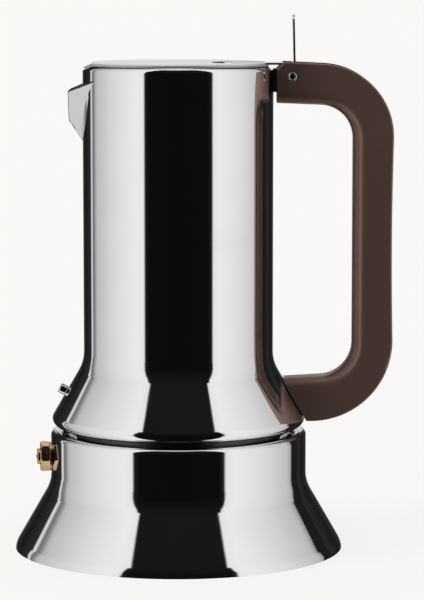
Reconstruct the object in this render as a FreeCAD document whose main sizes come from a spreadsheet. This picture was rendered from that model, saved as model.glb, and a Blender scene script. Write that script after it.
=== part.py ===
"""Stove-top moka pot with a flared boiler, a hooked-on collector and a hinged handle and lid.

Frame: millimetres, origin at the middle of the resting face, +Z up, handle towards +X, spout
towards -X. The sheet "dims" holds the sizes that can be set, and the sheet "places" holds the
sizes and heights that follow from them.
"""

import FreeCAD
import Part
import Sketcher
import math
import os

V = FreeCAD.Vector

# Driving dimensions: alias, value in mm or degrees, what it measures
DIMENSIONS = [
    # Boiler
    ("base_radius", 63.75, "outermost radius of the boiler's foot"),
    ("foot_bend", 9.0, "bend between the foot's edge and the flare"),
    ("foot_lean", 8.0, "lean of the foot's edge from the upright"),
    ("foot_upright", 0.2, "straight stretch of that edge"),
    ("flare_angle", 30.0, "lean of both flares from the upright"),
    ("boiler_radius", 49.75, "upright wall of the boiler"),
    ("boiler_blend", 15.0, "bend between the boiler's flare and wall"),
    ("wall_rise", 20.6, "boiler's deck above the corner of that bend"),
    ("shoulder_round", 2.2, "rounding of the boiler's shoulder"),
    ("boiler_wall", 1.0, "sheet of the boiler"),
    ("disc_inset", 6.0, "heat-spreading disc inside the foot's edge"),
    ("disc_thickness", 2.0, "heat-spreading disc"),
    ("braze_gap", 0.05, "joint gap of welded and brazed pieces"),
    # Neck that the collector seals on
    ("neck_height", 14.2, "neck's sealing face above the deck"),
    ("neck_room", 1.83, "neck inside the collector's skirt at the seal"),
    ("neck_wall", 3.0, "wall of the neck"),
    ("neck_dip", 1.8, "how far the neck reaches under the deck"),
    ("neck_foot", 1.6, "overhang of the neck's foot on the deck"),
    ("neck_foot_thickness", 1.0, "foot of the neck"),
    ("flange_reach", 3.0, "overhang of the neck's flange"),
    ("flange_rise", 8.2, "underside of the flange above the deck"),
    ("flange_thickness", 2.0, "flange"),
    # Collector
    ("pot_wall", 1.0, "sheet of the collector"),
    ("seam_gap", 1.6, "gap between deck and skirt"),
    ("skirt_overhang", -0.65, "skirt beyond the boiler's wall, less than nothing when it stands back"),
    ("skirt_round", 3.0, "rounding under the skirt"),
    ("skirt_return", 0.6, "width of the skirt's turned-in edge inside the rounding"),
    ("pot_radius", 36.8, "collector's cylinder"),
    ("pot_blend", 15.0, "bend between the collector's flare and cylinder"),
    ("pot_height", 140.1, "rim above the underside of the skirt"),
    ("rim_round", 2.2, "bend of the turned-in rim"),
    ("rim_turn", 2.0, "flat of the turned-in rim that the lid lies on"),
    # Seal, filter and floor
    ("gasket_thickness", 2.5, "sealing ring"),
    ("gasket_lap", 3.4, "sealing ring inside the neck's bore"),
    ("filter_lap", 2.4, "filter plate on the sealing ring"),
    ("filter_thickness", 0.6, "both perforated plates"),
    ("floor_wall", 1.2, "floor of the collector"),
    ("floor_rise", 6.0, "rise of the floor from its rim to its middle"),
    ("floor_shoulder", 1.2, "flat of the floor round the riser's foot"),
    ("floor_ledge", 1.7, "start of the floor's rise inside the sealing ring"),
    ("column_bore", 4.5, "bore of the riser, radius"),
    ("column_wall", 1.8, "wall of the riser"),
    ("column_length", 77.8, "riser above the floor"),
    ("column_foot", 3.0, "overhang and height of the riser's foot"),
    ("cap_height", 12.0, "cap of the riser"),
    ("cap_wall", 1.2, "cap of the riser"),
    ("cap_overlap", 5.0, "how far the cap reaches down the riser"),
    ("outlet_width", 4.0, "side outlets of the cap"),
    ("hole_radius", 0.75, "holes of both perforated plates"),
    ("hole_pitch", 4.6, "distance from ring to ring of holes"),
    # Funnel
    ("funnel_wall", 0.8, "sheet of the funnel"),
    ("funnel_lap", 1.4, "funnel's rim on the neck"),
    ("basket_play", 4.0, "coffee basket inside the neck's bore"),
    ("basket_depth", 22.0, "coffee basket, rim to screen"),
    ("basket_cone", 6.0, "fall of the basket's floor to the tube"),
    ("screen_ledge", 1.7, "ledge that the screen lies on"),
    ("tube_radius", 5.0, "outside of the dip tube"),
    ("tube_gap", 4.0, "tube's open end above the boiler's floor"),
    # Spout
    ("spout_stand", 5.65, "tip beyond the collector's wall"),
    ("spout_drop", 9.95, "upper end of the tip under the rim"),
    ("spout_edge", 11.45, "height of the tip's open front"),
    ("keel_fall", 56.5, "fall of the keel from the tip to the wall"),
    ("keel_round", 1.2, "bend along the keel"),
    ("panel_spread", 47.1, "panels' angle from the middle plane, square to the keel"),
    ("spout_top_slope", 22.0, "slope of the panels' upper edges"),
    ("spout_sheet", 0.9, "sheet of the spout"),
    ("window_sill", 2.3, "lowest point of the pouring window under the tip's foot"),
    ("window_head", 1.2, "top of the pouring window under the tip's upper end"),
    ("window_half_width", 8.5, "pouring window"),
    ("window_round", 2.0, "corners of the pouring window"),
    # Hinge
    ("pin_stand", 7.0, "hinge axis beyond the collector's wall"),
    ("pin_drop", 4.5, "hinge axis under the rim"),
    ("pin_radius", 1.775, "hinge pin"),
    ("pin_bore", 1.0, "blind hole in each end of the hinge pin, radius"),
    ("pin_dimple", 2.0, "depth of that hole"),
    ("pin_proud", 0.15, "pin end beyond the handle's side"),
    ("pin_fit", 0.05, "running clearance on the pin, radial"),
    ("knuckle_radius", 3.6, "bracket's knuckle"),
    ("bracket_play", 0.8, "bracket inside the lid's hinge ears"),
    ("bracket_below", 6.0, "underside of the bracket under the hinge axis"),
    ("bracket_above", 3.0, "top of the bracket over the hinge axis"),
    ("bracket_setback", 1.8, "end of the bracket's arm before the pin"),
    # Lid
    ("lid_sheet", 0.8, "sheet of the lid and of its strap"),
    ("lid_over", 0.3, "lid's edge beyond the flat of the rim"),
    ("lip_inset", 0.6, "edge of the lid's bent lip inside the collector's outside"),
    ("lip_width", 3.6, "lid's bent lip, from its bend to the edge"),
    ("lip_angle", 25.0, "fall of the bent lip"),
    ("lip_room", 0.25, "gap between the lip and the rim's notch"),
    ("strap_width", 10.0, "strap and thumb lever"),
    ("strap_length", 17.4, "strap inside the lid's edge"),
    ("recess_spare", 4.5, "lid's recess beyond the strap's inner end"),
    ("recess_side", 4.0, "recess beside the strap"),
    ("recess_corner", 6.5, "rounded corners of the recess"),
    ("strap_corner", 4.0, "rounded corners of strap and lever"),
    ("lever_setback", 0.6, "near face of the thumb lever beyond the hinge axis"),
    ("lever_rise", 19.2, "top of the thumb lever above the rim"),
    ("lever_lean", 1.3, "lean of the lever towards the spout"),
    ("lever_bend", 0.6, "inner radius of the lever's bend"),
    ("ear_radius", 3.0, "rounding of the lid's hinge ears"),
    ("ear_inset", 0.2, "ear inside the strap's edge"),
    ("hinge_room", 1.0, "depth of the rim's notch under the recess"),
    ("hinge_side", 0.6, "play of the recess in that notch"),
    # Handle
    ("handle_width", 16.0, "handle along the pin"),
    ("handle_nose", 5.8, "handle's top end before the hinge axis"),
    ("handle_reach", 39.1, "outermost face of the grip beyond the hinge axis"),
    ("grip_thickness", 15.45, "upright bar"),
    ("grip_waist", 0.45, "hollow of the grip's outer face, at half its height"),
    ("waist_flat", 4.3, "straight stretch between that hollow and the bends"),
    ("handle_over", 5.65, "top of the handle over the hinge axis"),
    ("top_bar", 15.85, "upper bar at its hinge end"),
    ("top_fall", 2.1, "fall of the upper bar's top towards the grip"),
    ("under_fall", 1.2, "fall of the upper bar's underside towards the grip"),
    ("handle_lift", 3.9, "underside of the handle above the deck"),
    ("low_bar", 17.95, "lower bar at the grip"),
    ("low_bar_fall", 1.65, "fall of the lower bar's top towards the pot"),
    ("inner_bend", 13.0, "inside bends"),
    ("outer_bend", 28.0, "upper outside bend"),
    ("low_bend", 31.5, "lower outside bend"),
    ("end_chamfer", 2.6, "chamfer over the hinge"),
    ("inner_edge_round", 5.0, "edges round the finger gap"),
    ("outer_edge_round", 0.8, "other long edges"),
    ("lever_play", 0.5, "slot beside the thumb lever"),
    ("slot_depth", 6.5, "floor of the slot under the hinge axis"),
    ("slot_round", 3.2, "inner corner of the slot"),
    ("slot_end_gap", 1.4, "slot beyond the lever's swing"),
    ("handle_gap", 0.35, "handle's foot off the skirt"),
    # Catches
    ("catch_sheet", 0.8, "spring steel of both catches"),
    ("catch_width", 9.0, "both catches"),
    ("catch_lap", 1.4, "hook under the flange"),
    ("catch_play", 0.3, "gap between hook and flange"),
    ("catch_back", 0.3, "front catch off the skirt's inside"),
    ("rear_slot_play", 0.75, "play round the rear catch in the skirt"),
    ("rear_catch_root", 11.0, "rear catch inside the handle's foot"),
    ("stud_drop", 2.0, "rivet of the front catch under the top of the seal"),
    ("stud_radius", 1.9, "rivet head"),
    ("stud_head", 3.0, "rivet head off the skirt"),
    ("stud_edge", 0.5, "rounding of the rivet head"),
    ("rivet_radius", 1.3, "rivet shank"),
    ("rivet_tail", 0.7, "rivet's inner head"),
    ("screw_radius", 1.3, "screws of the rear catch"),
    ("screw_head_radius", 2.3, "screws of the rear catch"),
    ("screw_head", 1.2, "screws of the rear catch"),
    ("screw_grip", 4.0, "screw thread above the leaf"),
    ("screw_gap", 0.3, "half the gap between the screws' heads"),
    # Safety valve
    ("valve_rise", 10.5, "axis of the valve above the corner of the boiler's bend"),
    ("valve_turn", 6.0, "valve turned from the spout's plane to the viewer"),
    ("hex_turn", 20.8, "turn of the hexagon about the valve's axis"),
    ("hex_flats", 10.3, "hexagon across flats"),
    ("hex_length", 3.7, "hexagon along the axis"),
    ("hex_chamfer", 0.6, "corners of the hexagon"),
    ("washer_radius", 5.6, "washer"),
    ("washer_thickness", 0.5, "washer"),
    ("collar_radius", 3.05, "collar of the valve"),
    ("collar_length", 1.2, "collar of the valve"),
    ("collar_round", 0.4, "edge of the collar"),
    ("shank_wall", 1.8, "wall of the threaded shank"),
    ("shank_length", 9.4, "shank inside the wall's outside"),
    ("chamber_radius", 2.2, "spring chamber"),
    ("seat_thickness", 2.0, "valve seat"),
    ("seat_bore", 1.2, "steam hole, radius"),
    ("stem_radius", 1.0, "poppet's stem"),
    ("stem_fit", 0.05, "running clearance of the stem, radial"),
    ("stem_proud", 0.3, "stem's end beyond the collar"),
    ("poppet_play", 0.2, "poppet's head inside the chamber"),
    ("poppet_head", 2.0, "poppet's head along the axis"),
    ("spring_wire", 0.4, "spring wire, diameter"),
    ("spring_play", 0.35, "spring inside the chamber"),
    ("spring_turns", 6.0, "turns of the spring"),
    ("nut_flats", 10.5, "nut across flats"),
    ("nut_length", 3.0, "nut"),
    ("nut_gap", 0.45, "nut off the wall's nearest line"),
]

HEX_SIDES = 6
HEX_STEP = 360 / HEX_SIDES
HOLE_RINGS = 6
HOLES_PER_RING = 6
CAP_OUTLETS = 4
SPOUT_ROOT = 0.7
NEAR = 1e-6

doc = FreeCAD.newDocument("moka_pot")
sheet = doc.addObject("Spreadsheet::Sheet", "dims")
places = doc.addObject("Spreadsheet::Sheet", "places")


class Size:
    """A length or angle that keeps its present value beside the expression that follows the sheet."""

    def __init__(self, value, text):
        self.value = value
        self.text = text

    def __add__(self, other):
        other = as_size(other)
        return Size(self.value + other.value, f"({self.text} + {other.text})")

    def __sub__(self, other):
        other = as_size(other)
        return Size(self.value - other.value, f"({self.text} - {other.text})")

    def __mul__(self, other):
        other = as_size(other)
        return Size(self.value * other.value, f"({self.text} * {other.text})")

    def __truediv__(self, other):
        other = as_size(other)
        return Size(self.value / other.value, f"({self.text} / {other.text})")

    def __neg__(self):
        return Size(-self.value, f"(0 - {self.text})")

    __radd__ = __add__
    __rmul__ = __mul__

    def __rsub__(self, other):
        return as_size(other) - self

    def __rtruediv__(self, other):
        return as_size(other) / self


def as_size(number):
    if isinstance(number, Size):
        return number
    return Size(float(number), f"({float(number)!r})")


def sine(angle):
    return Size(math.sin(math.radians(angle.value)), f"sin({angle.text})")


def cosine(angle):
    return Size(math.cos(math.radians(angle.value)), f"cos({angle.text})")


def tangent(angle):
    return Size(math.tan(math.radians(angle.value)), f"tan({angle.text})")


def root(square):
    return Size(math.sqrt(square.value), f"sqrt({square.text})")


class Dimensions:
    """The sheet's cells as Size attributes, under their aliases."""


d = Dimensions()
for row, (alias, value, note) in enumerate(DIMENSIONS, start=1):
    sheet.set(f"A{row}", alias)
    sheet.set(f"B{row}", repr(value))
    sheet.setAlias(f"B{row}", alias)
    sheet.set(f"C{row}", note)
    setattr(d, alias, Size(value, f"dims.{alias}"))
doc.recompute()


# Sizes that follow from the driving ones


def follow(alias, size):
    """Keep a worked-out size in the second sheet and offer it under its alias."""
    rows = len(places.getUsedCells()) // 2
    places.set(f"A{rows + 1}", alias)
    places.set(f"B{rows + 1}", "=" + size.text.replace("places.", ""))
    places.setAlias(f"B{rows + 1}", alias)
    setattr(d, alias, Size(size.value, f"places.{alias}"))


def skirt_at(height, inside=0):
    """Radius of the collector's flare at a height, a distance inside its outer face."""
    return d.skirt_corner - (height - d.skirt_low) * d.slant - d.across * inside


follow("slant", tangent(d.flare_angle))
follow("across", 1 / cosine(d.flare_angle))
follow("flare_round", cosine(d.flare_angle) + (1 + sine(d.flare_angle)) * d.slant - 1)
follow("foot_slant", tangent(d.foot_lean))
follow("foot_length", d.foot_bend * tangent((d.flare_angle - d.foot_lean) / 2) + d.foot_upright)
follow("foot_rise", d.foot_length * cosine(d.foot_lean))
follow("foot_corner", d.base_radius + d.foot_rise * (d.slant - d.foot_slant))
follow("boiler_bend", (d.foot_corner - d.boiler_radius) / d.slant)
follow("boiler_top", d.boiler_bend + d.wall_rise)
follow("disc_radius", d.base_radius - d.disc_inset)
follow("skirt_low", d.boiler_top + d.seam_gap)
follow("skirt_radius", d.boiler_radius + d.skirt_overhang)
follow("skirt_corner", d.skirt_radius + d.skirt_round * d.flare_round)
follow("rim_height", d.skirt_low + d.pot_height)

follow("neck_top", d.boiler_top + d.neck_height)
follow("gasket_top", d.neck_top + d.gasket_thickness)
follow("neck_radius", skirt_at(d.gasket_top, d.pot_wall) - d.neck_room)
follow("neck_bore", d.neck_radius - d.neck_wall)
follow("flange_low", d.boiler_top + d.flange_rise)
follow("flange_radius", d.neck_radius + d.flange_reach)
follow("hook_top", d.flange_low - d.catch_play)
follow("gasket_bore", d.neck_bore - d.gasket_lap)
follow("filter_radius", d.gasket_bore + d.filter_lap)
follow("funnel_rim", d.neck_bore + d.funnel_lap)
follow("basket_radius", d.neck_bore - d.basket_play)
follow("tube_foot", d.disc_thickness + d.boiler_wall + d.tube_gap)
follow("column_radius", d.column_bore + d.column_wall)
follow("floor_flat", d.column_radius + d.column_foot + d.floor_shoulder)
follow("column_low", d.gasket_top + d.floor_rise + d.floor_wall)
follow("column_top", d.column_low + d.column_length)

follow("spout_reach", d.pot_radius + d.spout_stand)
follow("spout_tip_top", d.rim_height - d.spout_drop)
follow("spout_tip_low", d.spout_tip_top - d.spout_edge)
follow("window_low", d.spout_tip_low - d.window_sill)
follow("window_top", d.spout_tip_top - d.window_head)

follow("pin_x", d.pot_radius + d.pin_stand)
follow("pin_z", d.rim_height - d.pin_drop)
follow("bracket_width", d.strap_width - 2 * (d.ear_inset + d.lid_sheet + d.bracket_play))
follow("bracket_low", d.pin_z - d.bracket_below)
follow("bracket_top", d.pin_z + d.bracket_above)
follow("lid_low", d.rim_height)
follow("lid_top", d.lid_low + d.lid_sheet)
follow("lid_radius", d.pot_radius - d.rim_round + d.lid_over)
follow("lip_radius", d.pot_radius - d.lip_inset)
follow("lip_chord", d.lip_radius - d.lip_width)
follow("lip_half", root(d.lid_radius * d.lid_radius - d.lip_chord * d.lip_chord))
follow("lip_fall", (d.pot_radius - d.lip_chord) * tangent(d.lip_angle))
follow("strap_start", d.lid_radius - d.strap_length)
follow("recess_start", d.strap_start - d.recess_spare)
follow("lever_x", d.pin_x + d.lever_setback)
follow("lever_top", d.rim_height + d.lever_rise)

follow("handle_near", d.pin_x - d.handle_nose)
follow("handle_out", d.pin_x + d.handle_reach)
follow("handle_top", d.pin_z + d.handle_over)
follow("handle_low", d.boiler_top + d.handle_lift)
follow("slot_width", d.strap_width + 2 * d.lever_play)
follow("slot_floor", d.pin_z - d.slot_depth)
follow("stud_height", d.gasket_top - d.stud_drop)
follow("screw_spread", d.screw_head_radius + d.screw_gap)

follow("valve_height", d.boiler_bend + d.valve_rise)
follow("shank_radius", d.chamber_radius + d.shank_wall)
follow("poppet_radius", d.chamber_radius - d.poppet_play)
follow("spring_radius", d.chamber_radius - d.spring_play - d.spring_wire / 2)
follow("washer_seat", d.boiler_radius + d.braze_gap)
follow("hex_seat", d.washer_seat + d.washer_thickness)
follow("hex_end", d.hex_seat + d.hex_length)
follow("collar_end", d.hex_end + d.collar_length)
follow("shank_end", d.boiler_radius - d.shank_length)
follow("chamber_low", d.shank_end + d.seat_thickness)
doc.recompute()


def bind(target, prop, size):
    """Set a property to a size and keep it tied to the sheet."""
    target.setExpression(prop, as_size(size).text)


def place(target, x=0, y=0, z=0, yaw=0, pitch=0, roll=0):
    """Tie a placement to the sheet: a position, then turns about Z, Y and X."""
    x, y, z, yaw, pitch, roll = [as_size(number).text for number in (x, y, z, yaw, pitch, roll)]
    target.setExpression(
        "Placement", f"placement(vector({x}; {y}; {z}); rotation({yaw}; {pitch}; {roll}))"
    )


# Sketches


def unit(start, end):
    return (end - start).normalize()


def corner_arc(before, corner, after, radius):
    """The arc that rounds a corner, and whether it runs the same way round as the outline."""
    inward = unit(corner, before)
    onward = unit(corner, after)
    half = inward.getAngle(onward) / 2
    middle = corner + (inward + onward).normalize() * (radius / math.sin(half))
    first = corner + inward * (radius / math.tan(half)) - middle
    last = corner + onward * (radius / math.tan(half)) - middle
    forward = first.cross(last).z > 0
    start, end = (first, last) if forward else (last, first)
    circle = Part.Circle(middle, V(0, 0, 1), radius)
    arc = Part.ArcOfCircle(circle, math.atan2(start.y, start.x), math.atan2(end.y, end.x))
    return arc, forward


def pin_point(sketch, geometry, point, spot):
    """Hold a sketch point at its two sizes."""
    for kind, axis, size in (("DistanceX", -2, spot[0]), ("DistanceY", -1, spot[1])):
        size = as_size(size)
        if size.text == "(0.0)":
            sketch.addConstraint(Sketcher.Constraint("PointOnObject", geometry, point, axis))
        else:
            index = sketch.addConstraint(Sketcher.Constraint(kind, geometry, point, size.value))
            sketch.setExpression(f"Constraints[{index}]", size.text)


def draw_outline(sketch, corners):
    """Closed outline through corners (u, v) or (u, v, rounding)."""
    spots = [V(as_size(c[0]).value, as_size(c[1]).value, 0) for c in corners]
    count = len(corners)
    lines = [
        sketch.addGeometry(Part.LineSegment(spots[i], spots[(i + 1) % count]), False)
        for i in range(count)
    ]
    for i, corner in enumerate(corners):
        before = lines[i - 1]
        after = lines[i]
        if len(corner) == 2:
            sketch.addConstraint(Sketcher.Constraint("Coincident", before, 2, after, 1))
            pin_point(sketch, after, 1, corner)
            continue
        radius = as_size(corner[2])
        mark = sketch.addGeometry(Part.Point(spots[i]), True)
        pin_point(sketch, mark, 1, corner)
        shape, forward = corner_arc(spots[i - 1], spots[i], spots[(i + 1) % count], radius.value)
        arc = sketch.addGeometry(shape, False)
        first, last = (1, 2) if forward else (2, 1)
        sketch.addConstraint(Sketcher.Constraint("PointOnObject", mark, 1, before))
        sketch.addConstraint(Sketcher.Constraint("PointOnObject", mark, 1, after))
        sketch.addConstraint(Sketcher.Constraint("Tangent", before, 2, arc, first))
        sketch.addConstraint(Sketcher.Constraint("Tangent", arc, last, after, 1))
        index = sketch.addConstraint(Sketcher.Constraint("Radius", arc, radius.value))
        sketch.setExpression(f"Constraints[{index}]", radius.text)


def draw_circle(sketch, u, v, radius):
    u, v, radius = as_size(u), as_size(v), as_size(radius)
    circle = Part.Circle(V(u.value, v.value, 0), V(0, 0, 1), radius.value)
    index = sketch.addGeometry(circle, False)
    pin_point(sketch, index, 3, (u, v))
    number = sketch.addConstraint(Sketcher.Constraint("Radius", index, radius.value))
    sketch.setExpression(f"Constraints[{number}]", radius.text)


def sketch_in(body, name, plane, corners=None, circle=None):
    """Sketch on one of the body's own origin planes."""
    sketch = body.newObject("Sketcher::SketchObject", name)
    base = [f for f in body.Origin.OriginFeatures if f.Role == plane][0]
    sketch.AttachmentSupport = [(base, "")]
    sketch.MapMode = "FlatFace"
    if corners:
        draw_outline(sketch, corners)
    if circle:
        draw_circle(sketch, *circle)
    return sketch


# Features


def new_body(label):
    body = doc.addObject("PartDesign::Body", label)
    body.Label = label
    return body


def revolve(body, corners, name="profile"):
    """Turned piece: an outline in the XZ plane round the Z axis."""
    turned = body.newObject("PartDesign::Revolution", f"turn_{name}")
    turned.Profile = sketch_in(body, f"{body.Name}_{name}", "XZ_Plane", corners)
    turned.ReferenceAxis = (turned.Profile[0], ["V_Axis"])
    turned.Angle = 360
    return turned


def groove(body, corners, name):
    """Cut an outline in the XZ plane round the Z axis, out of a solid that it meets."""
    doc.recompute()
    before = body.Shape.Volume
    cut = body.newObject("PartDesign::Groove", f"groove_{name}")
    cut.Profile = sketch_in(body, f"{body.Name}_{name}", "XZ_Plane", corners)
    cut.ReferenceAxis = (cut.Profile[0], ["V_Axis"])
    cut.Angle = 360
    must_shrink(body, before, name)
    return cut


def must_shrink(body, before, name):
    doc.recompute()
    if body.Shape.Volume >= before - NEAR:
        raise RuntimeError(f"{body.Label}: {name} cuts nothing")


def pad(body, plane, name, length, corners=None, circle=None, symmetric=True, start=0):
    feature = body.newObject("PartDesign::Pad", f"pad_{name}")
    sketch = sketch_in(body, f"{body.Name}_{name}", plane, corners, circle)
    bind(sketch, ".AttachmentOffset.Base.z", start)
    feature.Profile = sketch
    feature.SideType = "Symmetric" if symmetric else "One side"
    bind(feature, "Length", length)
    return feature


def pocket(body, plane, name, length, corners=None, circle=None, symmetric=True, toward=1):
    """Cut a sketch out of the body, both ways or towards one side of its plane."""
    doc.recompute()
    before = body.Shape.Volume
    feature = body.newObject("PartDesign::Pocket", f"cut_{name}")
    feature.Profile = sketch_in(body, f"{body.Name}_{name}", plane, corners, circle)
    feature.SideType = "Symmetric" if symmetric else "One side"
    feature.Reversed = toward > 0
    bind(feature, "Length", length)
    must_shrink(body, before, name)
    return feature


def round_edges(body, name, radius, wanted):
    """Fillet the edges of the body's present solid that a test picks."""
    doc.recompute()
    base = body.Tip
    names = [f"Edge{i}" for i, edge in enumerate(base.Shape.Edges, start=1) if wanted(edge)]
    feature = body.newObject("PartDesign::Fillet", f"round_{name}")
    feature.Base = (base, names)
    bind(feature, "Radius", radius)
    return feature


def solid(kind, name, **sizes):
    """Part primitive with its sizes tied to the sheet."""
    made = doc.addObject(f"Part::{kind}", name)
    for prop, size in sizes.items():
        bind(made, prop, size)
    return made


def prism(name, length, corners, **spot):
    """Outline drawn in its own plane, placed, and drawn out both ways along its normal."""
    sketch = doc.addObject("Sketcher::SketchObject", f"{name}_outline")
    draw_outline(sketch, corners)
    place(sketch, **spot)
    made = doc.addObject("Part::Extrusion", name)
    made.Base = sketch
    made.DirMode = "Normal"
    made.Solid = True
    made.Symmetric = True
    bind(made, "LengthFwd", length)
    return made


def combine(kind, name, *pieces):
    """Part boolean: Cut takes two pieces, MultiFuse and MultiCommon take any number."""
    made = doc.addObject(f"Part::{kind}", name)
    if kind == "Cut":
        made.Base, made.Tool = pieces
    else:
        made.Shapes = list(pieces)
    made.Label = name
    return made


# Boiler


def make_boiler_shell():
    body = new_body("boiler_blank")
    wall = d.boiler_wall
    inner_foot = d.foot_corner - wall * d.slant - wall * d.across
    inner_bend = (d.foot_corner - wall * d.across - d.boiler_radius + wall) / d.slant
    hole = d.neck_radius + d.braze_gap
    disc_edge = d.disc_radius + d.braze_gap
    revolve(
        body,
        [
            (0, d.disc_thickness),
            (disc_edge, d.disc_thickness),
            (disc_edge, 0),
            (d.base_radius, 0),
            (d.base_radius - d.foot_rise * d.foot_slant, d.foot_rise, d.foot_bend),
            (d.boiler_radius, d.boiler_bend, d.boiler_blend),
            (d.boiler_radius, d.boiler_top, d.shoulder_round),
            (hole, d.boiler_top),
            (hole, d.boiler_top - wall),
            (d.boiler_radius - wall, d.boiler_top - wall, d.shoulder_round - wall),
            (d.boiler_radius - wall, inner_bend, d.boiler_blend + wall),
            (inner_foot, wall),
            (disc_edge + wall, wall),
            (disc_edge + wall, d.disc_thickness + wall),
            (0, d.disc_thickness + wall),
        ],
    )
    bore = solid("Cylinder", "valve_hole", Radius=d.shank_radius + d.braze_gap, Height=d.base_radius)
    place(bore, z=d.valve_height, yaw=d.valve_turn, pitch=-90)
    return combine("Cut", "boiler_shell", body, bore)


def make_base_disc():
    return solid("Cylinder", "base_disc", Radius=d.disc_radius, Height=d.disc_thickness)


def make_boiler_neck():
    body = new_body("boiler_neck")
    under = d.boiler_top - d.boiler_wall - d.neck_dip
    foot = d.neck_radius + d.neck_foot
    foot_top = d.boiler_top + d.neck_foot_thickness
    flange_top = d.flange_low + d.flange_thickness
    seat = d.funnel_rim + d.braze_gap
    seat_floor = d.neck_top - d.funnel_wall
    revolve(
        body,
        [
            (d.neck_bore, under),
            (d.neck_radius, under),
            (d.neck_radius, d.boiler_top),
            (foot, d.boiler_top),
            (foot, foot_top),
            (d.neck_radius, foot_top),
            (d.neck_radius, d.flange_low),
            (d.flange_radius, d.flange_low),
            (d.flange_radius, flange_top),
            (d.neck_radius, flange_top),
            (d.neck_radius, d.neck_top),
            (seat, d.neck_top),
            (seat, seat_floor),
            (d.neck_bore, seat_floor),
        ],
    )
    return body


# Safety valve: its pieces are built along their own Z axis, which the placement turns outwards


def on_valve_axis(piece, distance=0):
    """Stand a piece on the valve's axis, a distance out from the pot's axis."""
    place(
        piece,
        x=-(distance * cosine(d.valve_turn)),
        y=-(distance * sine(d.valve_turn)),
        z=d.valve_height,
        yaw=d.valve_turn,
        pitch=-90,
    )
    return piece


def hexagon_reach(flats):
    """Corner radius of a hexagon of a size across flats."""
    return flats / (2 * cosine(as_size(HEX_STEP / 2)))


def hexagon_corners(flats):
    """Six corners of the valve's hexagon, turned about the valve's axis."""
    turns = [d.hex_turn + HEX_STEP * side for side in range(HEX_SIDES)]
    reach = hexagon_reach(flats)
    return [(reach * cosine(turn), reach * sine(turn)) for turn in turns]


def make_valve_body():
    body = new_body("valve_body")
    corner = hexagon_reach(d.hex_flats)
    bevel = d.hex_chamfer
    stem_hole = d.stem_radius + d.stem_fit
    revolve(
        body,
        [
            (d.seat_bore, d.shank_end),
            (d.shank_radius, d.shank_end),
            (d.shank_radius, d.hex_seat),
            (corner - bevel, d.hex_seat),
            (corner, d.hex_seat + bevel),
            (corner, d.hex_end - bevel),
            (corner - bevel, d.hex_end),
            (d.collar_radius, d.hex_end),
            (d.collar_radius, d.collar_end, d.collar_round),
            (stem_hole, d.collar_end),
            (stem_hole, d.hex_end - bevel),
            (d.chamber_radius, d.hex_end - bevel),
            (d.chamber_radius, d.chamber_low),
            (d.seat_bore, d.chamber_low),
        ],
    )
    flats = sketch_in(body, "valve_flats", "XY_Plane", hexagon_corners(d.hex_flats))
    draw_circle(flats, 0, 0, d.hex_flats)
    bind(flats, ".AttachmentOffset.Base.z", d.hex_seat)
    doc.recompute()
    before = body.Shape.Volume
    trim = body.newObject("PartDesign::Pocket", "cut_valve_flats")
    trim.Profile = flats
    trim.Reversed = True
    bind(trim, "Length", d.hex_length)
    must_shrink(body, before, "flats")
    return on_valve_axis(body)


def make_valve_washer():
    ring = solid("Cylinder", "washer_disc", Radius=d.washer_radius, Height=d.washer_thickness)
    hole = solid("Cylinder", "washer_hole", Radius=d.shank_radius + d.braze_gap, Height=d.washer_thickness)
    for piece in (ring, hole):
        on_valve_axis(piece, d.washer_seat)
    return combine("Cut", "valve_washer", ring, hole)


def make_valve_nut():
    start = d.boiler_radius - d.boiler_wall - d.nut_gap - d.nut_length
    nut = solid("Prism", "nut_blank", Circumradius=hexagon_reach(d.nut_flats), Height=d.nut_length)
    on_valve_axis(nut, start)
    hole = solid("Cylinder", "nut_hole", Radius=d.shank_radius + d.braze_gap, Height=d.nut_length)
    on_valve_axis(hole, start)
    return combine("Cut", "valve_nut", nut, hole)


def make_valve_poppet():
    body = new_body("valve_poppet")
    head_top = d.chamber_low + d.poppet_head
    revolve(
        body,
        [
            (0, d.chamber_low),
            (d.poppet_radius, d.chamber_low),
            (d.poppet_radius, head_top),
            (d.stem_radius, head_top),
            (d.stem_radius, d.collar_end + d.stem_proud),
            (0, d.collar_end + d.stem_proud),
        ],
    )
    return on_valve_axis(body)


def make_valve_spring():
    """Coil between the poppet's head and the collar."""
    low = d.chamber_low + d.poppet_head + d.spring_wire / 2 + d.braze_gap
    high = d.hex_end - d.hex_chamfer - d.spring_wire / 2 - d.braze_gap
    height = high - low
    pitch = height / d.spring_turns
    coil = solid("Helix", "spring_line", Pitch=pitch, Height=height, Radius=d.spring_radius)
    wire = doc.addObject("Part::Circle", "spring_wire_section")
    bind(wire, "Radius", d.spring_wire / 2)
    place(wire, x=d.spring_radius, roll=90)
    doc.recompute()
    spring = doc.addObject("Part::Sweep", "valve_spring")
    spring.Sections = [wire]
    spring.Spine = (coil, [f"Edge{i + 1}" for i in range(len(coil.Shape.Edges))])
    spring.Solid = True
    spring.Frenet = True
    return on_valve_axis(spring, low)


# Funnel


def make_funnel():
    body = new_body("funnel")
    wall = d.funnel_wall
    rim_low = d.neck_top - wall
    inside = d.basket_radius - wall
    ledge = d.neck_top - d.basket_depth
    ledge_edge = inside - d.screen_ledge
    cone_low = ledge - d.basket_cone
    tube_in = d.tube_radius - wall
    revolve(
        body,
        [
            (d.funnel_rim, rim_low),
            (d.funnel_rim, d.neck_top),
            (inside, d.neck_top),
            (inside, ledge),
            (ledge_edge, ledge),
            (tube_in, cone_low),
            (tube_in, d.tube_foot),
            (d.tube_radius, d.tube_foot),
            (d.tube_radius, cone_low - wall),
            (ledge_edge, ledge - wall),
            (d.basket_radius, ledge - wall),
            (d.basket_radius, rim_low),
        ],
    )
    return body


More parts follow.
